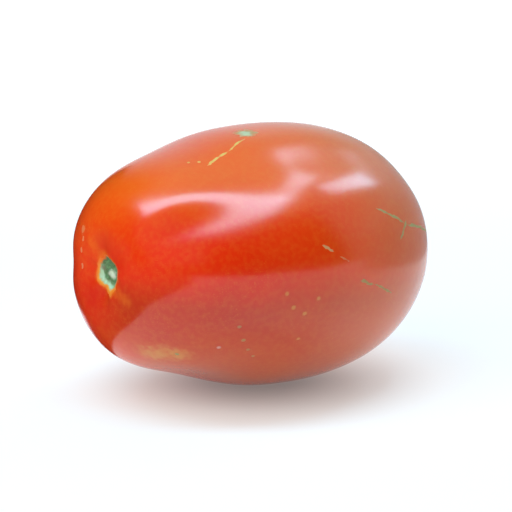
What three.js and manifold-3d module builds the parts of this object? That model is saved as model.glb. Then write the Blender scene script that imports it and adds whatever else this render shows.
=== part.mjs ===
// A ripe plum tomato, picked and lying on its side: one fruit, one solid.
//
// Units are millimetres. +X runs from the stem end to the blossom end, +Z is
// up, and the origin is on the surface that the fruit rests on, under its
// middle. A place on the skin is given by two angles: `fromStem`, 0 at the stem
// end and PI at the blossom end, and `around`, 0 on top, a quarter turn on the
// -Y side, half a turn underneath.
import * as THREE from 'three'
import { mergeVertices } from 'three/addons/utils/BufferGeometryUtils.js'
import Module from 'manifold-3d'

const wasm = await Module()
wasm.setup()

const degrees = THREE.MathUtils.degToRad

// The whole fruit
const LENGTH = 72
const GIRTH_RADIUS = 26.4 // mean radius of the widest section
const WIDEST_X = 0.7 // widest a little past the middle
const BELLY_SHIFT = 0.019 // extra girth towards the blossom end
const STEM_SQUARENESS = 2.47 // 2 is an ellipse, more is blunter
const BLOSSOM_SQUARENESS = 2.27
const ENDS_RISE = 0.8 // the long axis bows, both ends up
const STEM_END_TILT = degrees(1.8) // how it lies, stem end up

// Swellings of the chambers inside, seen round the section
const SQUASH = { swell: 0.05, turn: degrees(91.6) } // wider than it is tall
const THREE_SIDED = { swell: 0.005, turn: degrees(19.6) }
const SHOULDER_TWO = { swell: 0.038, turn: degrees(47.5) }
const SHOULDER_THREE = { swell: 0.0455, turn: degrees(-39.2) }

// The neck behind the shoulders, with a furrow under it
const NECK = { at: 0.62, spread: 0.289, depth: 0.049 }
const UNDER_FURROW = { around: degrees(174.4), width: degrees(20.9), depth: 0.054 }

// Furrows between the chambers, and a full cheek, whose depth is less than zero.
// Each runs along the fruit for `reach` either way of `x` and dies out, and
// `twist` turns it as it goes, in radians a millimetre.
const FURROWS = [
  { around: degrees(53.7), width: degrees(13.9), x: -30.8, reach: 11.8, depth: 0.092, twist: 0 },
  { around: degrees(35.7), width: degrees(14.6), x: 0.7, reach: 30, depth: 0.034, twist: degrees(0.23) },
  { around: degrees(268), width: degrees(14), x: -29, reach: 12, depth: 0.06, twist: 0 },
  { around: degrees(85.4), width: degrees(29.4), x: -9.4, reach: 26.7, depth: -0.084, twist: degrees(-0.15) }
]

// The hollow at the stem end, and the scar where the stalk let go
const HOLLOW = { depth: 1.5, radius: 6.5 }
const PUCKER = { count: 5, depth: 0.12, radius: 4.6, spread: 2.4, turn: degrees(-22) }
const SCAR = { height: 3.1, width: 2.8, lean: degrees(-18), sink: 0.6, wall: 0.2 }
const SCAR_NUB = { height: 0.5, radius: 0.8 }

// The small scar of the flower at the other end
const FLOWER_SCAR = { height: 0.35, radius: 1.1, dip: 0.3, dipRadius: 3.2 }

const FLAT_DEPTH = 0.5 // how far the weight flattens the underside

const RINGS = 52
const AROUND = 60
const END_CROWDING = 0.8 // 0 spaces the rings evenly, near 1 crowds them at both ends

const hump = (distance, width) => Math.exp(-((distance / width) ** 2))
const angleBetween = (a, b) => Math.atan2(Math.sin(a - b), Math.cos(a - b))
const wave = (lobe, count, around) => lobe.swell * Math.cos(count * (around - lobe.turn))
const mix = (a, b, t) => a + (b - a) * t

function furrowDepth (furrow, x, around) {
  const middle = furrow.around + furrow.twist * (x - furrow.x)
  return furrow.depth *
    hump(angleBetween(around, middle), furrow.width) *
    hump(x - furrow.x, furrow.reach)
}

// How much wider or narrower than a plain round fruit the section is here.
function swelling (lengthwise, x, around) {
  const shoulder = ((1 + lengthwise) / 2) ** 1.5
  const neck = hump(lengthwise - NECK.at, NECK.spread)
  const underFurrow = hump(angleBetween(around, UNDER_FURROW.around), UNDER_FURROW.width)
  const furrows = FURROWS.reduce((sum, furrow) => sum + furrowDepth(furrow, x, around), 0)
  return 1 +
    wave(SQUASH, 2, around) +
    wave(THREE_SIDED, 3, around) +
    wave(SHOULDER_TWO, 2, around) * shoulder +
    wave(SHOULDER_THREE, 3, around) * shoulder -
    NECK.depth * neck -
    UNDER_FURROW.depth * neck * underFurrow -
    furrows
}

// The stalk scar's edge is a rounded diamond, sunk with a steep wall.
function scarEdge (around) {
  const up = Math.abs(Math.cos(around - SCAR.lean)) / SCAR.height
  const across = Math.abs(Math.sin(around - SCAR.lean)) / SCAR.width
  return (up ** 1.3 + across ** 1.3) ** (-1 / 1.3)
}

// How far the skin at the stem end lies in from the plain shape.
function stemHollow (radius, around) {
  const pucker = 1 + Math.cos(PUCKER.count * (around - PUCKER.turn))
  const inScar = 1 / (1 + Math.exp((radius - scarEdge(around)) / SCAR.wall))
  return HOLLOW.depth * hump(radius, HOLLOW.radius) +
    PUCKER.depth * pucker * hump(radius - PUCKER.radius, PUCKER.spread) +
    SCAR.sink * inScar -
    SCAR_NUB.height * hump(radius, SCAR_NUB.radius)
}

function flowerScar (radius) {
  return FLOWER_SCAR.height * hump(radius, FLOWER_SCAR.radius) -
    FLOWER_SCAR.dip * hump(radius, FLOWER_SCAR.dipRadius)
}

function skinPoint (fromStem, around) {
  const lengthwise = Math.cos(fromStem)
  const sideways = Math.sin(fromStem)
  const stemEnd = lengthwise > 0
  const squareness = mix(BLOSSOM_SQUARENESS, STEM_SQUARENESS, (1 + lengthwise) / 2)
  const halfLength = LENGTH / 2 + (stemEnd ? WIDEST_X : -WIDEST_X)
  const girth = GIRTH_RADIUS * (1 - BELLY_SHIFT * lengthwise)
  const reach = (Math.abs(lengthwise / halfLength) ** squareness +
    (sideways / girth) ** squareness) ** (-1 / squareness)
  const plainX = WIDEST_X - reach * lengthwise
  const radius = reach * sideways * swelling(lengthwise, plainX, around)
  const x = plainX + (stemEnd ? stemHollow(radius, around) : flowerScar(radius))
  const y = -radius * Math.sin(around)
  const z = radius * Math.cos(around) + ENDS_RISE * (plainX / (LENGTH / 2)) ** 2
  return new THREE.Vector3(x, y, z).applyAxisAngle(new THREE.Vector3(0, 1, 0), STEM_END_TILT)
}

// A closed mesh that keeps only its positions, with shared corners merged.
function closedMesh (geometry) {
  geometry.deleteAttribute('normal')
  geometry.deleteAttribute('uv')
  return mergeVertices(geometry)
}

function toSolid (geometry) {
  return new wasm.Manifold(new wasm.Mesh({
    numProp: 3,
    vertProperties: new Float32Array(geometry.attributes.position.array),
    triVerts: new Uint32Array(geometry.index.array)
  }))
}

function toGeometry (solid) {
  const mesh = solid.getMesh()
  const geometry = new THREE.BufferGeometry()
  geometry.setAttribute('position', new THREE.BufferAttribute(mesh.vertProperties, 3))
  geometry.setIndex(new THREE.BufferAttribute(mesh.triVerts, 1))
  return geometry
}

// A unit sphere with its pole turned to the stem end, moved out to the skin.
function fruitBody () {
  const geometry = closedMesh(new THREE.SphereGeometry(1, AROUND, RINGS))
  const corners = geometry.attributes.position
  for (let i = 0; i < corners.count; i++) {
    const even = Math.acos(THREE.MathUtils.clamp(corners.getY(i), -1, 1))
    const fromStem = even - END_CROWDING * Math.sin(2 * even) / 2
    const around = Math.atan2(corners.getZ(i), corners.getX(i))
    corners.setXYZ(i, ...skinPoint(fromStem, around).toArray())
  }
  return geometry
}

// The weight of the ripe fruit presses a small flat spot where it lies.
function withFlatSpot (body) {
  body.computeBoundingBox()
  const floor = body.boundingBox.min.z + FLAT_DEPTH
  const below = new THREE.BoxGeometry(LENGTH * 2, LENGTH * 2, LENGTH)
  below.translate(0, 0, floor - LENGTH / 2)
  return toGeometry(toSolid(body).subtract(toSolid(closedMesh(below))))
}

function standOnOrigin (geometry) {
  geometry.computeBoundingBox()
  const { min, max } = geometry.boundingBox
  geometry.translate(-(min.x + max.x) / 2, -(min.y + max.y) / 2, -min.z)
  geometry.computeVertexNormals()
  return geometry
}

const skin = new THREE.MeshStandardMaterial({ color: 0xd43306, roughness: 0.35, metalness: 0 })
const fruit = new THREE.Mesh(standOnOrigin(withFlatSpot(fruitBody())), skin)
fruit.name = 'tomato'

const tomato = new THREE.Group()
tomato.add(fruit)

export default tomato
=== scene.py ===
"""A ripe plum tomato, picked and lying on its side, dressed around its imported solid."""

import math

import bmesh
import bpy
from mathutils import Matrix, Vector, noise


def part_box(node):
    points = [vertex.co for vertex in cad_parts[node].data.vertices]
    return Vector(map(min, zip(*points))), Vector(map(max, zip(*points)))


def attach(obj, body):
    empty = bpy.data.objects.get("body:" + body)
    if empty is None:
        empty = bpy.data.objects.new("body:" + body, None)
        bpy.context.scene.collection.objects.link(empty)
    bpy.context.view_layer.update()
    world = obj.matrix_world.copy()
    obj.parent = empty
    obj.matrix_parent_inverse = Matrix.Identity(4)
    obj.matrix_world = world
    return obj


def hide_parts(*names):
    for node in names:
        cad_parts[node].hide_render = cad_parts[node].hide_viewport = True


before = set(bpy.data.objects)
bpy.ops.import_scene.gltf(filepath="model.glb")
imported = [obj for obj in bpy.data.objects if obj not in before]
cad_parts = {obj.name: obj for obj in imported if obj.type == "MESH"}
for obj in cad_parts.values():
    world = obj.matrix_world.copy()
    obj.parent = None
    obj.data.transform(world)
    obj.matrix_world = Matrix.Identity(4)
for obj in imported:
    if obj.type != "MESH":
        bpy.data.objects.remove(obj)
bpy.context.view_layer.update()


# The fruit's form
# One fleshy berry with a thin waxy skin: an oblong body swollen by the chambers
# inside it, a neck behind the shoulders, a hollow where the stalk was, and a
# flat spot where its own weight presses it.

# Lengths are millimetres in the fruit's own axes: X from stem to blossom end, Z
# up, its middle at zero.
MM = 0.001
LENGTH = 72.0
GIRTH_RADIUS = 26.4
WIDEST_X = 0.7
BELLY_SHIFT = 0.019
STEM_SQUARENESS, BLOSSOM_SQUARENESS = 2.47, 2.27
ENDS_RISE = 0.8
STEM_END_TILT = math.radians(1.8)
FLAT_DEPTH = 0.5

SQUASH = dict(count=2, swell=0.05, turn=math.radians(91.6))
THREE_SIDED = dict(count=3, swell=0.005, turn=math.radians(19.6))
SHOULDER_TWO = dict(count=2, swell=0.038, turn=math.radians(47.5))
SHOULDER_THREE = dict(count=3, swell=0.0455, turn=math.radians(-39.2))

NECK = dict(at=0.62, spread=0.289, depth=0.049)
UNDER_FURROW = dict(around=math.radians(174.4), width=math.radians(20.9), depth=0.054)

# Around and width in degrees, middle and reach in millimetres, depth as a share
# of the radius, twist in degrees a millimetre. The last is a full cheek.
FURROWS = (
    (53.7, 13.9, -30.8, 11.8, 0.092, 0.0),
    (35.7, 14.6, 0.7, 30.0, 0.034, 0.23),
    (268.0, 14.0, -29.0, 12.0, 0.06, 0.0),
    (85.4, 29.4, -9.4, 26.7, -0.084, -0.15),
)

HOLLOW = dict(depth=1.5, radius=6.5)
PUCKER = dict(count=5, depth=0.12, radius=4.6, spread=2.4, turn=math.radians(-22))
SCAR = dict(height=3.1, width=2.8, lean=math.radians(-18), sink=0.6, wall=0.2)
DIAMOND = 1.3  # 1 has straight sides, 2 is an ellipse
SCAR_NUB = dict(height=0.5, radius=0.8)
FLOWER_SCAR = dict(height=0.35, radius=1.1, dip=0.3, dip_radius=3.2)

# Unevenness too fine for the solid: a size across and a depth.
SKIN_WAVES = dict(size=9.0, depth=0.05)
SCAR_ROUGHNESS = dict(size=0.7, depth=0.3)
WRINKLES = dict(turns=2.2, depth=0.35, radius=4.2, spread=2.0)
SCAR_LIP = dict(
    around=math.radians(80), width=math.radians(55), radius=4.2, spread=1.5, height=0.5
)

RINGS, SEGMENTS = 300, 320
END_CROWDING = 0.8


def hump(distance, width):
    return math.exp(-((distance / width) ** 2))


def angle_between(a, b):
    return math.atan2(math.sin(a - b), math.cos(a - b))


def wave(lobe, around):
    return lobe["swell"] * math.cos(lobe["count"] * (around - lobe["turn"]))


def furrow_depth(furrow, x, around):
    at, width, middle, reach, depth, twist = furrow
    aside = angle_between(around, math.radians(at + twist * (x - middle)))
    return depth * hump(aside, math.radians(width)) * hump(x - middle, reach)


def swelling(lengthwise, x, around):
    """How much wider or narrower than a plain round fruit the section is here."""
    shoulder = ((1 + lengthwise) / 2) ** 1.5
    neck = hump(lengthwise - NECK["at"], NECK["spread"])
    under = hump(angle_between(around, UNDER_FURROW["around"]), UNDER_FURROW["width"])
    size = 1 + wave(SQUASH, around) + wave(THREE_SIDED, around)
    size += (wave(SHOULDER_TWO, around) + wave(SHOULDER_THREE, around)) * shoulder
    size -= NECK["depth"] * neck + UNDER_FURROW["depth"] * neck * under
    return size - sum(furrow_depth(furrow, x, around) for furrow in FURROWS)


def scar_edge(around):
    """The stalk scar's edge is a rounded diamond."""
    up = abs(math.cos(around - SCAR["lean"])) / SCAR["height"]
    across = abs(math.sin(around - SCAR["lean"])) / SCAR["width"]
    return (up ** DIAMOND + across ** DIAMOND) ** (-1 / DIAMOND)


def stem_hollow(radius, around):
    """How far the skin at the stem end lies in from the plain shape."""
    pucker = 1 + math.cos(PUCKER["count"] * (around - PUCKER["turn"]))
    inside = 1 / (1 + math.exp((radius - scar_edge(around)) / SCAR["wall"]))
    depth_in = HOLLOW["depth"] * hump(radius, HOLLOW["radius"])
    depth_in += PUCKER["depth"] * pucker * hump(radius - PUCKER["radius"], PUCKER["spread"])
    depth_in += SCAR["sink"] * inside - SCAR_NUB["height"] * hump(radius, SCAR_NUB["radius"])
    outward = Vector((math.sin(around), math.cos(around), 0))
    lumps = noise.noise(outward * radius / SCAR_ROUGHNESS["size"])
    creases = noise.noise(outward * WRINKLES["turns"])
    depth_in += SCAR_ROUGHNESS["depth"] * inside * lumps
    depth_in += WRINKLES["depth"] * creases * hump(radius - WRINKLES["radius"], WRINKLES["spread"])
    lip = hump(angle_between(around, SCAR_LIP["around"]), SCAR_LIP["width"])
    lip *= hump(radius - SCAR_LIP["radius"], SCAR_LIP["spread"])
    return depth_in - SCAR_LIP["height"] * lip


def flower_scar(radius):
    raised = FLOWER_SCAR["height"] * hump(radius, FLOWER_SCAR["radius"])
    return raised - FLOWER_SCAR["dip"] * hump(radius, FLOWER_SCAR["dip_radius"])


def skin_point(from_stem, around):
    """The place on the skin at two angles: 0 is the stem end, and 0 is on top."""
    lengthwise, sideways = math.cos(from_stem), math.sin(from_stem)
    stem_end = lengthwise > 0
    share = (1 + lengthwise) / 2
    squareness = BLOSSOM_SQUARENESS + (STEM_SQUARENESS - BLOSSOM_SQUARENESS) * share
    half_length = LENGTH / 2 + (WIDEST_X if stem_end else -WIDEST_X)
    girth = GIRTH_RADIUS * (1 - BELLY_SHIFT * lengthwise)
    reach = abs(lengthwise / half_length) ** squareness + (sideways / girth) ** squareness
    reach = reach ** (-1 / squareness)
    plain_x = WIDEST_X - reach * lengthwise
    radius = reach * sideways * swelling(lengthwise, plain_x, around)
    x = plain_x + (stem_hollow(radius, around) if stem_end else flower_scar(radius))
    y = -radius * math.sin(around)
    z = radius * math.cos(around) + ENDS_RISE * (plain_x / (LENGTH / 2)) ** 2
    point = Vector((x, y, z))
    unevenness = SKIN_WAVES["depth"] * noise.noise(point / SKIN_WAVES["size"])
    return point * (1 + unevenness / GIRTH_RADIUS)


shape = bmesh.new()
bmesh.ops.create_uvsphere(shape, u_segments=SEGMENTS, v_segments=RINGS, radius=1)
for corner in shape.verts:
    even = math.acos(max(-1.0, min(1.0, corner.co.z)))
    from_stem = even - END_CROWDING * math.sin(2 * even) / 2
    corner.co = skin_point(from_stem, math.atan2(-corner.co.y, corner.co.x))

# Tilted as it lies, then moved so that its box stands where the solid's does.
as_it_lies = Matrix.Rotation(STEM_END_TILT, 3, "Y")
bmesh.ops.rotate(shape, verts=shape.verts, matrix=as_it_lies)
lows = [min(corner.co[axis] for corner in shape.verts) for axis in range(3)]
highs = [max(corner.co[axis] for corner in shape.verts) for axis in range(3)]
middle = Vector(((lows[0] + highs[0]) / 2, (lows[1] + highs[1]) / 2, lows[2] + FLAT_DEPTH))
bmesh.ops.translate(shape, verts=shape.verts, vec=-middle)
for corner in shape.verts:
    corner.co.z = max(corner.co.z, 0.0)
bmesh.ops.scale(shape, verts=shape.verts, vec=(MM, MM, MM))
for face in shape.faces:
    face.smooth = True

fruit_mesh = bpy.data.meshes.new("fruit")
shape.to_mesh(fruit_mesh)
shape.free()
fruit = bpy.data.objects.new("fruit", fruit_mesh)
bpy.context.scene.collection.objects.link(fruit)
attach(fruit, "root")
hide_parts("tomato")


# Tools for the skin's patterns
# Each pattern is a node group that takes the place on the fruit, in millimetres
# from its middle, and gives a mask. Sockets are fed with a value or a link.
def feed(tree, socket, value):
    if isinstance(value, bpy.types.NodeSocket):
        tree.links.new(value, socket)
    else:
        socket.default_value = value


def maths(tree, operation, *values):
    node = tree.nodes.new("ShaderNodeMath")
    node.operation = operation
    for socket, value in zip(node.inputs, values):
        feed(tree, socket, value)
    return node.outputs[0]


def vectors(tree, operation, *values):
    node = tree.nodes.new("ShaderNodeVectorMath")
    node.operation = operation
    for socket, value in zip(node.inputs, values):
        feed(tree, socket, value)
    gives_number = operation in ("DOT_PRODUCT", "LENGTH", "DISTANCE")
    return node.outputs["Value" if gives_number else "Vector"]


def fade(tree, value, low, high, to_low=0.0, to_high=1.0):
    """A smooth change from one value to another while the input goes from low to high."""
    node = tree.nodes.new("ShaderNodeMapRange")
    node.interpolation_type = "SMOOTHSTEP"
    for socket, setting in zip(node.inputs, (value, low, high, to_low, to_high)):
        feed(tree, socket, setting)
    return node.outputs["Result"]


def cloud(tree, place, size, detail=2.0):
    """Soft noise, 0 to 1, with lumps about this many millimetres across."""
    node = tree.nodes.new("ShaderNodeTexNoise")
    feed(tree, node.inputs["Vector"], place)
    node.inputs["Scale"].default_value = 1 / size
    node.inputs["Detail"].default_value = detail
    node.inputs["Roughness"].default_value = 0.5
    return node.outputs["Fac"]


def blend(tree, share, low, high):
    """Mixes two colours."""
    node = tree.nodes.new("ShaderNodeMix")
    node.data_type = "RGBA"
    feed(tree, node.inputs["Factor"], share)
    feed(tree, node.inputs[6], low)
    feed(tree, node.inputs[7], high)
    return node.outputs[2]


def pattern(name, settings):
    """An empty node group with the place and these settings in, and a mask out."""
    group = bpy.data.node_groups.new(name, "ShaderNodeTree")
    group.interface.new_socket("Place", in_out="INPUT", socket_type="NodeSocketVector")
    for label, value in settings.items():
        kind = "NodeSocketVector" if isinstance(value, tuple) else "NodeSocketFloat"
        socket = group.interface.new_socket(label, in_out="INPUT", socket_type=kind)
        socket.default_value = value
    group.interface.new_socket("Mask", in_out="OUTPUT", socket_type="NodeSocketFloat")
    given = group.nodes.new("NodeGroupInput").outputs
    return group, given, group.nodes.new("NodeGroupOutput").inputs["Mask"]


def place_pattern(tree, group, place, **settings):
    node = tree.nodes.new("ShaderNodeGroup")
    node.node_tree = group
    feed(tree, node.inputs["Place"], place)
    for label, value in settings.items():
        feed(tree, node.inputs[label.replace("_", " ").capitalize()], value)
    return node.outputs["Mask"]


# Hairline cracks
# The skin stretches as the fruit swells and heals over in fine corky lines. A
# line lies where a plane through the fruit's middle cuts the skin between its
# two ends, wanders a little, and can be broken into dots.
crack, crack_in, crack_out = pattern(
    "hairline_crack", {"Start": (0.0, 0.0, 0.0), "End": (1.0, 0.0, 0.0), "Width": 0.25, "Breaks": 0.3}
)
wander = maths(crack, "SUBTRACT", cloud(crack, crack_in["Place"], 2.5, detail=3.0), 0.5)
plane = vectors(crack, "NORMALIZE", vectors(crack, "CROSS_PRODUCT", crack_in["Start"], crack_in["End"]))
aside = vectors(crack, "DOT_PRODUCT", crack_in["Place"], plane)
aside = maths(crack, "ABSOLUTE", maths(crack, "MULTIPLY_ADD", wander, 1.1, aside))
run = vectors(crack, "SUBTRACT", crack_in["End"], crack_in["Start"])
gone = vectors(crack, "SUBTRACT", crack_in["Place"], crack_in["Start"])
along = maths(
    crack, "DIVIDE", vectors(crack, "DOT_PRODUCT", gone, run), vectors(crack, "DOT_PRODUCT", run, run)
)
from_middle = maths(crack, "ABSOLUTE", maths(crack, "SUBTRACT", along, 0.5))
taper = fade(crack, from_middle, 0.5, 0.3)
uneven = fade(crack, cloud(crack, crack_in["Place"], 0.8, detail=1.0), 0.35, 0.6)
whole = maths(crack, "SUBTRACT", 1.0, crack_in["Breaks"])
uneven = maths(crack, "MULTIPLY_ADD", uneven, crack_in["Breaks"], whole)
breadth = maths(crack, "MULTIPLY", maths(crack, "MULTIPLY", taper, uneven), crack_in["Width"])
inside = fade(crack, maths(crack, "SUBTRACT", aside, breadth), 0.06, -0.06)
facing = vectors(crack, "DOT_PRODUCT", crack_in["Place"], crack_in["Start"])
this_side = maths(crack, "GREATER_THAN", facing, 0.0)
on_line = maths(crack, "MULTIPLY", inside, maths(crack, "GREATER_THAN", taper, 0.02))
feed(crack, crack_out, maths(crack, "MULTIPLY", on_line, this_side))


# Spots and patches
# Blemishes, specks and unripe patches in the skin. Each is round with a ragged
# edge, and can fade out softly.
spot, spot_in, spot_out = pattern(
    "ragged_spot", {"Centre": (0.0, 0.0, 0.0), "Radius": 1.0, "Softness": 0.3, "Ragged": 0.4}
)
apart = vectors(spot, "DISTANCE", spot_in["Place"], spot_in["Centre"])
frayed = maths(spot, "SUBTRACT", cloud(spot, spot_in["Place"], 1.2, detail=3.0), 0.5)
frayed = maths(spot, "MULTIPLY", maths(spot, "MULTIPLY", frayed, spot_in["Ragged"]), spot_in["Radius"])
apart = maths(spot, "ADD", apart, maths(spot, "MULTIPLY", frayed, 2.0))
edge = maths(spot, "MULTIPLY", spot_in["Radius"], spot_in["Softness"])
outer = maths(spot, "ADD", spot_in["Radius"], edge)
inner = maths(spot, "SUBTRACT", spot_in["Radius"], edge)
feed(spot, spot_out, fade(spot, apart, outer, inner))


# Golden flecks
# Ripe skin is dusted with tiny golden dots of corky cells, of uneven size, and
# thicker in some places than others.
fleck, fleck_in, fleck_out = pattern("golden_flecks", {"Spacing": 1.5, "Size": 0.3, "Amount": 0.7})
cells = fleck.nodes.new("ShaderNodeTexVoronoi")
feed(fleck, cells.inputs["Vector"], vectors(fleck, "DIVIDE", fleck_in["Place"], fleck_in["Spacing"]))
from_dot = maths(fleck, "MULTIPLY", cells.outputs["Distance"], fleck_in["Spacing"])
dot_size = maths(fleck, "MULTIPLY", cells.outputs["Color"], fleck_in["Size"])
dot = fade(fleck, maths(fleck, "SUBTRACT", from_dot, dot_size), 0.16, -0.08)
crowd = fade(fleck, cloud(fleck, fleck_in["Place"], 9.0), 0.4, 0.65)
crowded = maths(fleck, "MULTIPLY", dot, crowd)
feed(fleck, fleck_out, maths(fleck, "MULTIPLY", crowded, fleck_in["Amount"]))


# The stalk scar
# Where the stalk let go the flesh dried to a small green diamond. The pattern
# gives how far out from its middle a place is, 1 at its edge, which tells the
# parts of the scar and the halo round it apart.
scar, scar_in, scar_out = pattern("stalk_scar", {"Ragged": 0.5})
upright = scar.nodes.new("ShaderNodeMapping")
upright.vector_type = "TEXTURE"
upright.inputs["Location"].default_value = (0.0, 0.0, ENDS_RISE)
upright.inputs["Rotation"].default_value = (SCAR["lean"], 0.0, 0.0)
feed(scar, upright.inputs["Vector"], scar_in["Place"])
scar_axes = scar.nodes.new("ShaderNodeSeparateXYZ")
feed(scar, scar_axes.inputs[0], upright.outputs["Vector"])
sides = []
for axis, half in (("Z", SCAR["height"]), ("Y", SCAR["width"])):
    off_middle = maths(scar, "ABSOLUTE", scar_axes.outputs[axis])
    sides.append(maths(scar, "POWER", maths(scar, "DIVIDE", off_middle, half), DIAMOND))
outward = maths(scar, "POWER", maths(scar, "ADD", *sides), 1 / DIAMOND)
frayed = maths(scar, "SUBTRACT", cloud(scar, scar_in["Place"], 1.5), 0.5)
outward = maths(scar, "MULTIPLY_ADD", frayed, scar_in["Ragged"], outward)
blossom_half = maths(scar, "GREATER_THAN", scar_axes.outputs["X"], 0.0)
FAR_OUTSIDE = 100.0
feed(scar, scar_out, maths(scar, "MULTIPLY_ADD", blossom_half, FAR_OUTSIDE, outward))


# The skin
# A clear waxy cuticle over red flesh: satin gloss, slightly see-through, redder
# on the sides and more orange on the shoulders, with the marks of growing.
skin = bpy.data.materials.new("ripe_skin")
skin.use_nodes = True
tree = skin.node_tree
wax = tree.nodes["Principled BSDF"]
wax.inputs["Specular IOR Level"].default_value = 0.4
wax.inputs["Coat Roughness"].default_value = 0.16
wax.inputs["Subsurface Weight"].default_value = 0.12
wax.inputs["Subsurface Radius"].default_value = (1.0, 0.2, 0.08)
wax.inputs["Subsurface Scale"].default_value = 2.5 * MM

# The place on the fruit, in its own axes and in millimetres.
coordinates = tree.nodes.new("ShaderNodeTexCoord")
own_axes = tree.nodes.new("ShaderNodeMapping")
own_axes.inputs["Scale"].default_value = (1 / MM, 1 / MM, 1 / MM)
own_axes.inputs["Rotation"].default_value = (0.0, -STEM_END_TILT, 0.0)
own_axes.inputs["Location"].default_value = as_it_lies.inverted() @ middle
feed(tree, own_axes.inputs["Vector"], coordinates.outputs["Object"])
place = own_axes.outputs["Vector"]


def on_skin(from_stem, around):
    """A mark's place, from its two angles in degrees."""
    return tuple(skin_point(math.radians(from_stem), math.radians(around)))


# Deep red on the sides and in the hollow, orange on top, underneath and towards the
# blossom end, and darker underneath and towards the blossom end on the near side, which is painted
# shade, with uneven borders.
DEEP_RED = (0.80, 0.026, 0.0012, 1)
ORANGE_RED = (0.88, 0.105, 0.003, 1)
SHADED_RED = (0.54, 0.028, 0.002, 1)
SHADED_ORANGE = (0.70, 0.115, 0.005, 1)
GOLD = (0.86, 0.38, 0.04, 1)

split = tree.nodes.new("ShaderNodeSeparateXYZ")
feed(tree, split.inputs[0], place)
along, across, high = split.outputs
patchy = maths(tree, "SUBTRACT", cloud(tree, place, 16.0, detail=3.0), 0.5)
on_top = fade(tree, maths(tree, "MULTIPLY_ADD", patchy, 9.0, high), 9.0, 19.0)
beneath = fade(tree, maths(tree, "MULTIPLY_ADD", patchy, 9.0, high), -6.0, -22.0, 0.0, 0.7)
blossom_end = fade(tree, maths(tree, "MULTIPLY_ADD", patchy, 12.0, along), -26.0, 20.0, 0.0, 0.85)
orange = maths(tree, "MAXIMUM", maths(tree, "MAXIMUM", on_top, beneath), blossom_end)
near_side = fade(tree, maths(tree, "MULTIPLY_ADD", patchy, 12.0, across), 12.0, -12.0)
orange = maths(tree, "MULTIPLY", orange, fade(tree, near_side, 0.0, 1.0, 0.4, 1.0))
# Painted shade: a darker red underneath and towards the blossom end, strongest on the near side.
shaded_underside = fade(tree, maths(tree, "MULTIPLY_ADD", patchy, 6.0, high), 4.0, -5.0)
painted_shade = maths(tree, "MAXIMUM", shaded_underside, fade(tree, along, -2.0, 18.0, 0.0, 0.75))
painted_shade = maths(tree, "MULTIPLY", painted_shade, fade(tree, near_side, 0.0, 1.0, 0.15, 1.0))
colour = blend(tree, orange, DEEP_RED, ORANGE_RED)
colour = blend(tree, painted_shade, colour, blend(tree, orange, SHADED_RED, SHADED_ORANGE))
mottle = cloud(tree, place, 1.0, detail=3.0)
colour = blend(tree, fade(tree, mottle, 0.35, 0.75, 0.0, 0.07), colour, GOLD)
flecks = place_pattern(tree, fleck, place)
colour = blend(tree, maths(tree, "MULTIPLY", flecks, 0.6), colour, GOLD)


def flush(mask, share, paint):
    """Lays one colour over the skin where the mask says."""
    global colour
    mask = maths(tree, "MULTIPLY", mask, share)
    colour = blend(tree, mask, colour, (*paint, 1))
    return mask


def mark(mask, share, paint):
    """The same for a corky or dry place, which is rough as well."""
    global rough
    rough = maths(tree, "MAXIMUM", rough, flush(mask, share, paint))


def crack_along(corners, width, breaks, share, paint):
    """A hairline through two or more places, each given by its two angles in degrees."""
    for start, end in zip(corners, corners[1:]):
        line = place_pattern(
            tree, crack, place, start=on_skin(*start), end=on_skin(*end), width=width, breaks=breaks
        )
        mark(line, share, paint)


def spot_at(angles, radius, share, paint, softness=0.3, ragged=0.4, lay=mark):
    centre = on_skin(*angles)
    lay(place_pattern(
        tree, spot, place, centre=centre, radius=radius, softness=softness, ragged=ragged
    ), share, paint)


rough = 0.0
CORK, SAGE, STRAW = (0.62, 0.34, 0.13), (0.36, 0.36, 0.13), (0.74, 0.52, 0.10)
LEAF, SAGE_DARK, PALE_GREEN = (0.16, 0.32, 0.13), (0.34, 0.32, 0.12), (0.50, 0.58, 0.34)
BLUSH, CREASE_SHADE_RED = (0.8, 0.66, 0.6), (0.66, 0.006, 0.0005)
SHOULDER_ORANGE, CREASE_HIGHLIGHT_ORANGE = (0.95, 0.24, 0.012), (0.92, 0.22, 0.012)
HALO_YELLOW = (0.9, 0.40, 0.03)
SCAR_GREEN, FIBRE_GREEN, RIM_GREEN = (0.06, 0.19, 0.08), (0.17, 0.34, 0.15), (0.52, 0.74, 0.50)
NUB_GREEN, DRY_BROWN, FLOWER_BROWN = (0.62, 0.72, 0.55), (0.16, 0.07, 0.02), (0.16, 0.09, 0.035)

# Hairlines on the side towards the blossom end
crack_along(((106, 64.0), (122.4, 72.0), (146, 78.0)), 0.3, 0.5, 0.85, SAGE)
crack_along(((124, 70.0), (116.0, 77.5)), 0.24, 0.4, 0.8, SAGE)
crack_along(((72.0, 75.0), (77.0, 77.8)), 0.32, 0.4, 0.85, CORK)
crack_along(((79.2, 79.8), (84.5, 81.8)), 0.2, 0.8, 0.5, CORK)
crack_along(((90.0, 89.6), (99.0, 91.6), (112.0, 97.6)), 0.27, 0.6, 0.75, SAGE)
for angles in ((45.2, 108.0), (49.4, 116.2), (53.5, 122.7), (57.6, 127.6)):
    spot_at(angles, 0.32, 0.55, SAGE, softness=0.7, ragged=0.9)

# A healed rub on top, with a line of scratches that leads to it
spot_at((79.7, 6.0), 1.9, 0.7, SAGE_DARK, softness=0.4, ragged=1.0)
spot_at((79.0, 6.5), 1.1, 0.7, PALE_GREEN, softness=0.5, ragged=1.2)
crack_along(((75.5, 11.0), (64.0, 15.5), (52.5, 20.0)), 0.3, 0.6, 0.8, STRAW)
spot_at((52.1, 14.7), 0.3, 0.7, STRAW)
spot_at((49.4, 11.5), 0.25, 0.6, STRAW)

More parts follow.
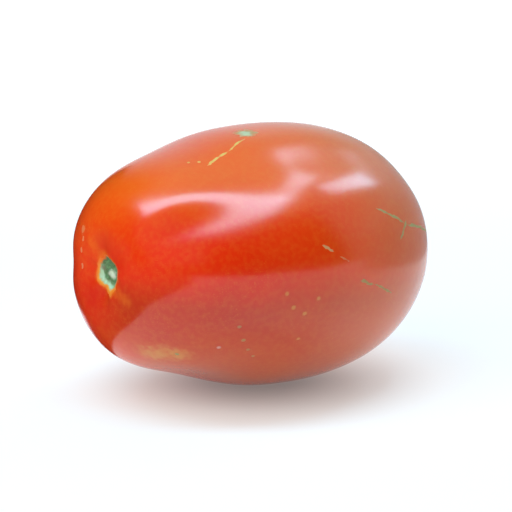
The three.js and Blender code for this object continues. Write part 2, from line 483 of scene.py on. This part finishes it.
# An unripe patch underneath, and stray specks
for angles, radius in (((31.0, 158.0), 1.9), ((33.0, 149.0), 2.2), ((36.5, 141.0), 1.6)):
    spot_at(angles, radius, 0.26, STRAW, softness=0.95, ragged=1.0, lay=flush)
spot_at((35.6, 142.4), 0.4, 0.7, LEAF)
spot_at((43.9, 124.4), 0.35, 0.45, BLUSH, softness=0.7)
for angles in ((57.6, 91.6), (68.6, 112.9), (66.0, 100.0), (61.0, 97.5), (70.0, 94.0)):
    spot_at(angles, 0.35, 0.4, STRAW, softness=0.8, ragged=0.9)

# Corky dashes on the shoulder
spot_at((17.0, 309.5), 0.75, 0.5, CORK, softness=0.8, ragged=1.4)
for dash in (((15.2, 307), (14.0, 302)), ((13.6, 295), (12.8, 288)), ((12.6, 275), (12.2, 266))):
    crack_along(dash, 0.35, 0.6, 0.5, CORK)

# Marks on the far side
crack_along(((96, 228), (106, 233), (118, 231)), 0.18, 0.6, 0.6, SAGE)
crack_along(((62, 301), (74, 297)), 0.18, 0.6, 0.6, CORK)
crack_along(((132, 282), (141, 276)), 0.16, 0.7, 0.6, CORK)
spot_at((88, 262), 0.35, 0.6, STRAW)

# Painted shade in the creases round the hollow, painted light along their lit edges and an orange flush
# on the shoulder, then the stalk scar and its halo
# Deep red patches in the creases: painted shade.
for angles, radius in (((9.0, 345), 2.2), ((7.0, 12), 2.4), ((6.5, 60), 1.8), ((9.4, 222), 2.4)):
    spot_at(angles, radius, 0.55, CREASE_SHADE_RED, softness=0.9, ragged=0.5, lay=flush)
spot_at((26, 335), 10.0, 0.22, SHOULDER_ORANGE, softness=1.0, ragged=0.3, lay=flush)
# Orange lines along the creases' edges: painted highlights.
for angles in ((11.5, 317), (9.0, 319), (6.0, 322), (6.0, 142), (8.0, 135), (10.0, 130), (12.0, 126)):
    spot_at(angles, 0.9, 0.22, CREASE_HIGHLIGHT_ORANGE, softness=0.95, ragged=0.6, lay=flush)
outward = place_pattern(tree, scar, place)
below = fade(tree, maths(tree, "SUBTRACT", high, across), 3.0, -3.0)
halo = fade(tree, outward, 1.55, 1.02)
halo = maths(tree, "MULTIPLY", halo, fade(tree, below, 0.0, 1.0, 0.3, 0.95))
mark(halo, 0.85, HALO_YELLOW)
mark(fade(tree, outward, 1.1, 0.95), 0.95, SCAR_GREEN)
fibres = fade(tree, cloud(tree, place, 0.5, detail=3.0), 0.45, 0.65)
mark(maths(tree, "MULTIPLY", fade(tree, outward, 1.0, 0.8), fibres), 0.7, FIBRE_GREEN)
rim = maths(tree, "MULTIPLY", fade(tree, outward, 1.12, 0.95), fade(tree, outward, 0.55, 0.85))
mark(maths(tree, "MULTIPLY", rim, fade(tree, below, 0.3, 0.9)), 0.85, RIM_GREEN)
spot_at((1.2, 95), 0.75, 0.9, NUB_GREEN, softness=0.5, ragged=1.0)
spot_at((3.2, 285), 0.5, 0.6, DRY_BROWN, softness=0.7, ragged=1.0)

# The flower's dry scar at the other end
spot_at((180, 0), 0.9, 0.9, FLOWER_BROWN, ragged=0.8)
spot_at((180, 0), 2.2, 0.35, STRAW, softness=0.7, ragged=0.8)

feed(tree, wax.inputs["Base Color"], colour)
feed(tree, wax.inputs["Roughness"], fade(tree, rough, 0.0, 1.0, 0.23, 0.6))
feed(tree, wax.inputs["Coat Weight"], fade(tree, rough, 0.0, 0.6, 0.35, 0.0))

# Pores, and the slightly proud marks
grain = tree.nodes.new("ShaderNodeBump")
grain.inputs["Strength"].default_value = 0.6
grain.inputs["Distance"].default_value = 0.02 * MM
pores = maths(tree, "MULTIPLY_ADD", rough, 2.0, cloud(tree, place, 0.55))
feed(tree, grain.inputs["Height"], pores)
feed(tree, wax.inputs["Normal"], grain.outputs[0])
fruit_mesh.materials.append(skin)


# The table
# A plain white surface that fades into the white behind it. It is lit from within
# like a light box so that it stays white in the picture, and glows least under the fruit, which is a
# painted contact shadow.
TABLE_REACH = 3.0
table_shape = bmesh.new()
bmesh.ops.create_grid(table_shape, x_segments=1, y_segments=1, size=TABLE_REACH)
table_mesh = bpy.data.meshes.new("table")
table_shape.to_mesh(table_mesh)
table_shape.free()
table = bpy.data.objects.new("table", table_mesh)
bpy.context.scene.collection.objects.link(table)
table_paint = bpy.data.materials.new("white_table")
table_paint.use_nodes = True
top = table_paint.node_tree
white = top.nodes["Principled BSDF"]
white.inputs["Base Color"].default_value = (0.36, 0.34, 0.33, 1)
white.inputs["Roughness"].default_value = 0.9
white.inputs["Specular IOR Level"].default_value = 0.0
white.inputs["Emission Color"].default_value = (1.0, 0.98, 0.96, 1)
from_fruit = vectors(top, "LENGTH", top.nodes.new("ShaderNodeTexCoord").outputs["Object"])
# Less glow close to the fruit: a painted contact shadow.
glow_with_painted_shadow = fade(top, from_fruit, 0.004, 0.038, 0.18, 0.66)
feed(top, white.inputs["Emission Strength"], fade(top, from_fruit, 0.1, 0.45, glow_with_painted_shadow, 0.98))
table_mesh.materials.append(table_paint)


# The dark cards
# Matt boards just out of the picture: two nearly black ones beside the stem end, one
# standing and one lying flat on the table as painted shade there, and a grey one behind the
# blossom end. They show only in the gloss, where they keep the stem end deep red and give the other end
# a darker rim.
def dark_card(name, place, turn, size, grey, lean=90):
    sheet = bmesh.new()
    bmesh.ops.create_grid(sheet, x_segments=1, y_segments=1, size=0.5)
    bmesh.ops.scale(sheet, verts=sheet.verts, vec=(*size, 1))
    mesh = bpy.data.meshes.new(name)
    sheet.to_mesh(mesh)
    sheet.free()
    card = bpy.data.objects.new(name, mesh)
    card.location = place
    card.rotation_euler = (math.radians(lean), 0, math.radians(turn))
    card.visible_camera = card.visible_diffuse = card.visible_shadow = False
    bpy.context.scene.collection.objects.link(card)
    board = bpy.data.materials.new(name)
    board.use_nodes = True
    paint = board.node_tree.nodes["Principled BSDF"]
    paint.inputs["Base Color"].default_value = (grey, grey, grey, 1)
    paint.inputs["Roughness"].default_value = 1.0
    paint.inputs["Specular IOR Level"].default_value = 0.0
    mesh.materials.append(board)


dark_card("black_card", (-0.055, 0.012, 0.036), turn=49, size=(0.26, 0.07), grey=0.015)
# Painted shade: a black sheet lying on the table, seen only in the gloss.
dark_card("painted_shade_mat", (-0.108, 0.048, 0.001), turn=23, size=(0.15, 0.12), grey=0.015, lean=0)
dark_card("grey_card", (0.118, -0.01, 0.036), turn=85, size=(0.22, 0.07), grey=0.45)


# The view
# The photograph looks across the fruit from its stem end, a little from above,
# from about half a metre, with the fruit filling most of the frame.
VIEW_TURN, VIEW_RISE = math.radians(-41.2), math.radians(13.0)
VIEW_DISTANCE = 0.52
VIEW_WIDTH = 0.098
SENSOR = 36.0
level = Vector((math.sin(VIEW_TURN), -math.cos(VIEW_TURN), 0))
to_camera = level * math.cos(VIEW_RISE) + Vector((0, 0, math.sin(VIEW_RISE)))
to_right = Vector((math.cos(VIEW_TURN), math.sin(VIEW_TURN), 0))
box_low, box_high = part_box("tomato")
aim = (Vector(box_low) + Vector(box_high)) / 2
lens = bpy.data.cameras.new("camera")
lens.sensor_width = SENSOR
lens.lens = SENSOR * VIEW_DISTANCE / VIEW_WIDTH
lens.clip_start = 0.01
camera = bpy.data.objects.new("camera", lens)
camera.location = aim + to_camera * VIEW_DISTANCE
camera.rotation_euler = (-to_camera).to_track_quat("-Z", "Y").to_euler()
bpy.context.scene.collection.objects.link(camera)
bpy.context.scene.camera = camera


# The light
# A pale room, bright above and behind the fruit and dim on the camera's side: a
# long strip lamp overhead, lying across the view, two smaller lamps behind on the
# right, and a broad soft fill that the gloss doesn't show.
def area_lamp(name, colour, right, toward, up, length, width, watts, in_gloss=True):
    """A flat lamp that faces the fruit, placed as the camera sees it, in metres."""
    data = bpy.data.lights.new(name, "AREA")
    data.shape = "RECTANGLE"
    data.size, data.size_y = length, width
    data.color, data.energy = colour, watts
    lamp = bpy.data.objects.new(name, data)
    lamp.location = to_right * right + level * toward + Vector((0, 0, up))
    facing = (lamp.location - aim).normalized()
    crosswise = (to_right - facing * to_right.dot(facing)).normalized()
    turned = Matrix((crosswise, facing.cross(crosswise), facing)).transposed()
    lamp.rotation_euler = turned.to_euler()
    lamp.visible_glossy = in_gloss
    bpy.context.scene.collection.objects.link(lamp)


COOL, WARM = (0.38, 0.74, 1.0), (1.0, 0.95, 0.88)
area_lamp("strip_lamp", COOL, right=-0.16, toward=0.02, up=0.9, length=1.05, width=0.26, watts=9.5)
area_lamp("skylight", COOL, right=0.39, toward=-0.4, up=1.1, length=0.16, width=0.8, watts=2.4)
area_lamp("window", COOL, right=0.72, toward=-0.8, up=0.9, length=0.22, width=0.5, watts=2.3)
area_lamp(
    "fill", WARM, right=-0.8, toward=0.9, up=0.85, length=1.6, width=1.2, watts=15.5, in_gloss=False
)

ROOM_FRONT, ROOM_BACK, ROOM_TOP, ROOM_LEFT = 0.02, 0.8, 0.5, 0.03
ROOM_BLUE = (0.8, 0.93, 1.0, 1.0)
room = bpy.data.worlds.new("pale_room")
bpy.context.scene.world = room
room.use_nodes = True
air = room.node_tree
direction = air.nodes.new("ShaderNodeTexCoord").outputs["Generated"]
behind = vectors(air, "DOT_PRODUCT", direction, tuple(-level))
upward = vectors(air, "DOT_PRODUCT", direction, (0.0, 0.0, 1.0))
bright = fade(air, upward, 0.1, 0.8, ROOM_BACK, ROOM_TOP)
seen = fade(air, behind, -0.2, 0.15, ROOM_FRONT, bright)
rightward = vectors(air, "DOT_PRODUCT", direction, tuple(to_right))
seen = maths(air, "MULTIPLY", seen, fade(air, rightward, -0.52, -0.12, ROOM_LEFT, 1.0))
looking = air.nodes.new("ShaderNodeLightPath").outputs["Is Camera Ray"]
strength = air.nodes.new("ShaderNodeMix")
feed(air, strength.inputs["Factor"], looking)
feed(air, strength.inputs["A"], seen)
feed(air, strength.inputs["B"], 1.0)
background = air.nodes["Background"]
feed(air, background.inputs["Color"], blend(air, looking, ROOM_BLUE, (1.0, 1.0, 1.0, 1.0)))
feed(air, background.inputs["Strength"], strength.outputs["Result"])
bpy.context.scene.view_settings.view_transform = "Standard"
